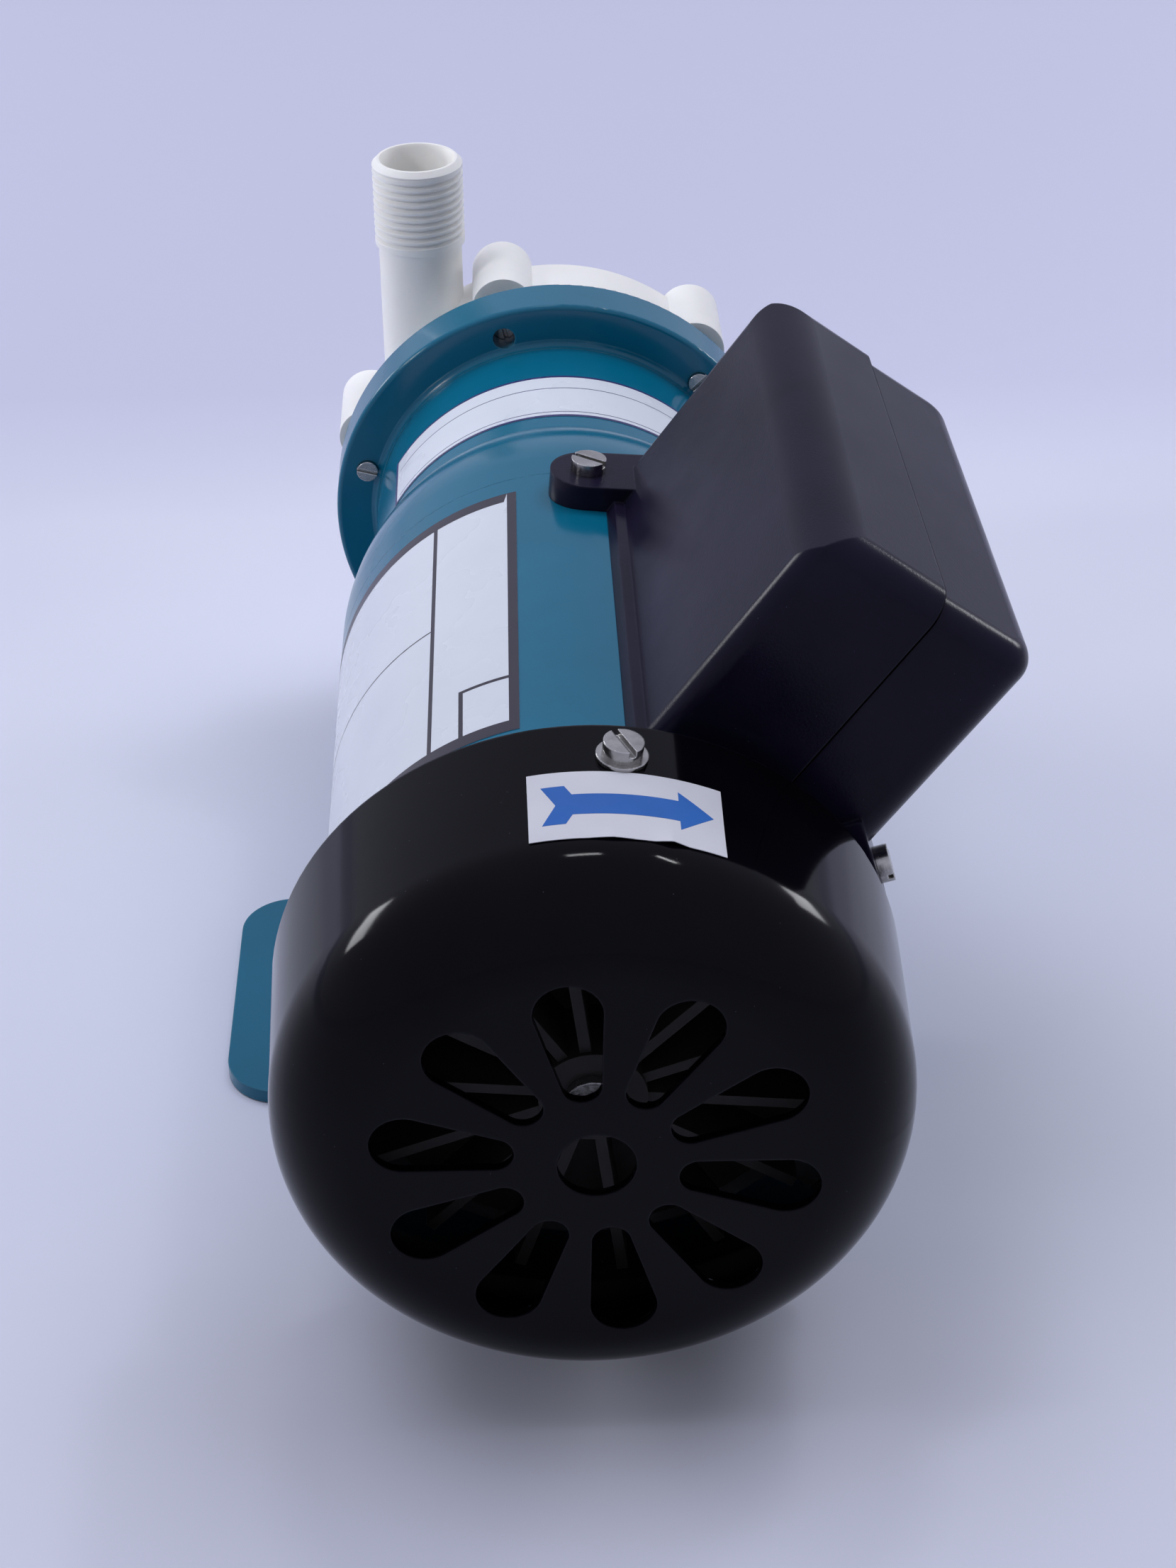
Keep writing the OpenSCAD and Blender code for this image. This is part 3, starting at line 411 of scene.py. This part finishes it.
def arrow_label():
    """Paper label with a plain arrow for the way the shaft turns, slightly creased at its lower edge."""
    sheets = Sheets(cover_radius)
    left, right, near, far = 100.4, 66.9, 16.0, 34.4

    def fold(angle, middle, half_width, height):
        return max(0.0, 1.0 - abs(angle - middle) / half_width) * height

    def crease(angle, station):
        edge = max(0.0, (24.0 - station) / 8.0)
        return edge * edge * (fold(angle, 76.5, 3.0, 0.55) + fold(angle, 86.5, 4.0, 0.25) + 0.12)
    sheets.quad([(right, near - 0.4), (left, near), (left, far), (right, far - 0.6)], PAPER, BASE,
                nu=60, nv=16, lift=crease)

    tail, notch, waist, neck, head, tip = 98.1, 95.7, 94.1, 92.9, 74.8, 68.7
    mid, shaft_half, wing = 25.2, 2.75, 5.2
    pieces = [[(neck, mid - shaft_half), (head, mid - shaft_half),
               (head, mid + shaft_half), (neck, mid + shaft_half)]]
    for side in (1, -1):
        bar, end = mid + side * shaft_half, mid + side * wing
        pieces.append([(notch, mid), (neck, mid), (neck, bar), (notch, mid)])
        pieces.append([(tail, end), (notch, mid), (neck, bar), (waist, end)])
        pieces.append([(head, mid), (tip, mid), (tip, mid), (head, end)])
    for corners in pieces:
        sheets.quad(corners, PAPER_INK, PRINT, nu=16, nv=6, lift=crease)
    sheets.make("arrow_label", [ARROW_PAPER, ARROW_BLUE])


# Pipe ends

THREAD_R, THREAD_PITCH, THREAD_DEPTH = 10.4775, 1.814, 0.95
FLANK_DEG, ROOT_HALF, RUNOUT_TURNS = 27.5, 0.16, 0.4
CUTTER_OVER, CUTTER_LEAST = 0.25, 0.02   # how far the cutter stands out and its depth at the ends
WELD_M = 2e-6
PIPE_AXIS = (-0.0309, 0.136, 0.0), (0, 0, 1)            # point in m and direction
SPIGOT_AXIS = (0.0, 0.0, SHAFT_Z * MM), (0, 1, 0)
PIPE_TOP = 138.1
PIPE_THREAD, SPIGOT_THREAD = (119.1, 17.6), (160.0, 18.6)   # start along the axis and length
MOUTH = [(PIPE_TOP - 5.5, 7.35), (PIPE_TOP - 0.6, 8.3), (PIPE_TOP + 0.4, 9.0)]   # height and radius


def about_axis(origin, along):
    """Point about an axis, as a function of the turn and of radius and height in mm."""
    origin, along = Vector(origin), Vector(along)
    side = along.orthogonal().normalized()
    other = along.cross(side)

    def point(turn, radius, height):
        ray = side * math.cos(turn) + other * math.sin(turn)
        return origin + (ray * radius + along * height) * MM
    return point


def thread_cutter(axis, start, length):
    """Helical groove about an axis that runs out at both ends."""
    point = about_axis(*axis)
    per_turn = 48
    steps = int(length / THREAD_PITCH * per_turn)
    runout = RUNOUT_TURNS * per_turn
    outer = THREAD_R + CUTTER_OVER
    verts, faces = [], []
    for i in range(steps + 1):
        turn = 2 * math.pi * i / per_turn
        height = start + THREAD_PITCH * i / per_turn
        depth = THREAD_DEPTH * min(1.0, i / runout, (steps - i) / runout) + CUTTER_LEAST
        root = THREAD_R - depth
        half = ROOT_HALF + (depth + outer - THREAD_R) * math.tan(math.radians(FLANK_DEG))
        for radius, offset in ((outer, -half), (root, -ROOT_HALF), (root, ROOT_HALF), (outer, half)):
            verts.append(point(turn, radius, height + offset))
    for i in range(steps):
        for k in range(4):
            a, b = 4 * i + k, 4 * i + (k + 1) % 4
            faces.append([a, b, b + 4, a + 4])
    faces.append([3, 2, 1, 0])
    faces.append([4 * steps, 4 * steps + 1, 4 * steps + 2, 4 * steps + 3])
    mesh = mesh_from("cutter", verts, faces)
    face_outward(mesh)
    return new_object("cutter", mesh)


def mouth_cutter(axis, rings, sides=96):
    """Closed body of revolution about an axis, from (height, radius) rings in mm."""
    point = about_axis(*axis)
    verts, faces = [], []
    for height, radius in rings:
        for i in range(sides):
            verts.append(point(2 * math.pi * i / sides, radius, height))
    for k in range(len(rings) - 1):
        for i in range(sides):
            a, b = k * sides + i, k * sides + (i + 1) % sides
            faces.append([a, b, b + sides, a + sides])
    faces.append(list(range(sides))[::-1])
    faces.append(list(range((len(rings) - 1) * sides, len(rings) * sides)))
    return new_object("cutter", mesh_from("cutter", verts, faces))


def threaded_casing():
    """Front casing with a thread cut into its two pipe ends and a flared discharge mouth."""
    mesh = NODES["front_casing"].data.copy()
    if "custom_normal" in mesh.attributes:
        mesh.attributes.remove(mesh.attributes["custom_normal"])
    bm = bmesh.new()
    bm.from_mesh(mesh)
    bmesh.ops.remove_doubles(bm, verts=bm.verts, dist=WELD_M)
    bm.to_mesh(mesh)
    bm.free()
    obj = new_object("front_casing_threaded", mesh)
    cutters = [
        thread_cutter(PIPE_AXIS, *PIPE_THREAD),
        thread_cutter(SPIGOT_AXIS, *SPIGOT_THREAD),
        mouth_cutter(PIPE_AXIS, MOUTH),
    ]
    for cutter in cutters:
        cut = obj.modifiers.new("thread", "BOOLEAN")
        cut.operation, cut.solver, cut.object = "DIFFERENCE", "EXACT", cutter
    graph = bpy.context.evaluated_depsgraph_get()
    made = bpy.data.meshes.new_from_object(obj.evaluated_get(graph))
    obj.modifiers.clear()
    obj.data = made
    for cutter in cutters:
        bpy.data.objects.remove(cutter)
    made.materials.clear()
    made.materials.append(SURFACES["head_white"])
    smooth(made, 28.0)
    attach(obj, "pump_body")
    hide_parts("front_casing")


nameplate()
neck_label()
arrow_label()
threaded_casing()


# Camera fitted to the photograph

CAMERA_AT = Vector((-0.01224, -0.47274, 0.37433))
YAW, PITCH, ROLL = 0.0323, 0.5940, -0.00748
LENS_MM = 63.487


def add_camera():
    ahead = Vector((math.sin(YAW) * math.cos(PITCH), math.cos(YAW) * math.cos(PITCH), -math.sin(PITCH)))
    right = Vector((math.cos(YAW), -math.sin(YAW), 0.0))
    up = right.cross(ahead)
    x = math.cos(ROLL) * right + math.sin(ROLL) * up
    y = -math.sin(ROLL) * right + math.cos(ROLL) * up
    data = bpy.data.cameras.new("camera")
    data.sensor_width = 36.0
    data.lens = LENS_MM
    data.clip_start, data.clip_end = 0.01, 50.0
    obj = new_object("camera", data)
    turn = Matrix((x, y, -ahead)).transposed()
    obj.matrix_world = Matrix.Translation(CAMERA_AT) @ turn.to_4x4()
    bpy.context.scene.camera = obj


# Floor, backdrop and light

def add_floor():
    """Pale floor that turns a little darker and bluer behind the pump."""
    mat = bpy.data.materials.new("floor")
    mat.use_nodes = True
    tree = mat.node_tree
    bsdf = tree.nodes["Principled BSDF"]
    place = add(tree, "ShaderNodeTexCoord").outputs["Object"]
    parts = add(tree, "ShaderNodeSeparateXYZ", {"Vector": place})
    back = spread(tree, parts.outputs["Y"], 0.0, 1.0, 0.22, 0.30)
    near = two_tones(tree, noise(tree, place, 6.0), (srgb(216, 218, 235), srgb(222, 224, 239)))
    tree.links.new(blend(tree, back, near, srgb(204, 205, 228)), bsdf.inputs["Base Color"])
    tree.links.new(spread(tree, noise(tree, place, 30.0), 0.55, 0.7), bsdf.inputs["Roughness"])
    size = 6.0
    mesh = mesh_from("floor", [(-size, -size, 0), (size, -size, 0), (size, size, 0), (-size, size, 0)],
                     [[0, 1, 2, 3]], [mat])
    obj = new_object("floor", mesh)
    obj.location.z = -0.0003


COVER_TOP = Vector((0.0, -0.12, 0.11))    # what the lamps face
PIPE_END = Vector((-0.031, 0.136, 0.12))
LAMP_COLOUR, ROOM_COLOUR, BACKDROP = (0.95, 0.96, 1.0), (0.86, 0.88, 1.0, 1.0), (0.60, 0.62, 0.76, 1.0)


def direction(azimuth, elevation):
    """Unit vector: azimuth in degrees from +Y to the right, elevation from level."""
    a, e = math.radians(azimuth), math.radians(elevation)
    return Vector((math.sin(a) * math.cos(e), math.cos(a) * math.cos(e), math.sin(e)))


def lamp(name, azimuth, elevation, distance, size, power, target=COVER_TOP, spread_deg=180):
    """Area lamp in a direction seen from its target."""
    way = direction(azimuth, elevation)
    data = bpy.data.lights.new(name, "AREA")
    data.shape = "RECTANGLE"
    data.size, data.size_y = size
    data.energy = power
    data.color = LAMP_COLOUR
    data.spread = math.radians(spread_deg)
    obj = new_object(name, data)
    obj.location = target + way * distance
    obj.rotation_mode = "QUATERNION"
    obj.rotation_quaternion = (-way).to_track_quat("-Z", "Y")


def glow(tree, way, low, high, outer, inner):
    """Light from the room that grows from outer to inner degrees off a direction."""
    toward = dot(tree, add(tree, "ShaderNodeTexCoord").outputs["Generated"], way)
    return spread(tree, toward, low, high, math.cos(math.radians(outer)),
                  math.cos(math.radians(inner)), interpolation_type="SMOOTHSTEP")


def add_world():
    """A wide soft glow, two narrower ones high on the left and right, and a plain pale backdrop."""
    world = bpy.data.worlds.new("studio")
    bpy.context.scene.world = world
    world.use_nodes = True
    tree = world.node_tree
    tree.nodes.clear()
    total = glow(tree, direction(-90, 60), 0.03, 0.33, 112, 10)
    for azimuth, elevation, strength in ((-68, 68, 3.5), (60, 63, 3.3)):
        part = glow(tree, direction(azimuth, elevation), 0.0, strength, 22, 6)
        total = math_node(tree, "ADD", total, part)
    room = add(tree, "ShaderNodeBackground", {"Color": ROOM_COLOUR, "Strength": total})
    backdrop = add(tree, "ShaderNodeBackground", {"Color": BACKDROP, "Strength": 0.93})
    path = add(tree, "ShaderNodeLightPath").outputs
    seen = path["Is Camera Ray"]
    for other in ("Is Glossy Ray", "Is Transmission Ray"):
        seen = math_node(tree, "MAXIMUM", seen, path[other])
    mixed = add(tree, "ShaderNodeMixShader", {
        "Fac": seen, 1: room.outputs["Background"], 2: backdrop.outputs["Background"]})
    add(tree, "ShaderNodeOutputWorld", {"Surface": mixed.outputs["Shader"]})


def add_light():
    add_world()
    lamp("ceiling_tube", -2, 66, 2.0, (0.32, 0.03), 2.4)
    lamp("ceiling_tube_right", 43, 57, 2.0, (0.24, 0.03), 1.9)
    lamp("left_window", -55, 12, 1.3, (0.46, 0.16), 3.2)
    lamp("right_window", 54, 14, 1.3, (0.26, 0.20), 2.3)
    lamp("pipe_light", -112, 30, 1.0, (0.16, 0.16), 0.03, PIPE_END, 20)


add_camera()
add_floor()
add_light()
bpy.context.scene.view_settings.view_transform = "Standard"
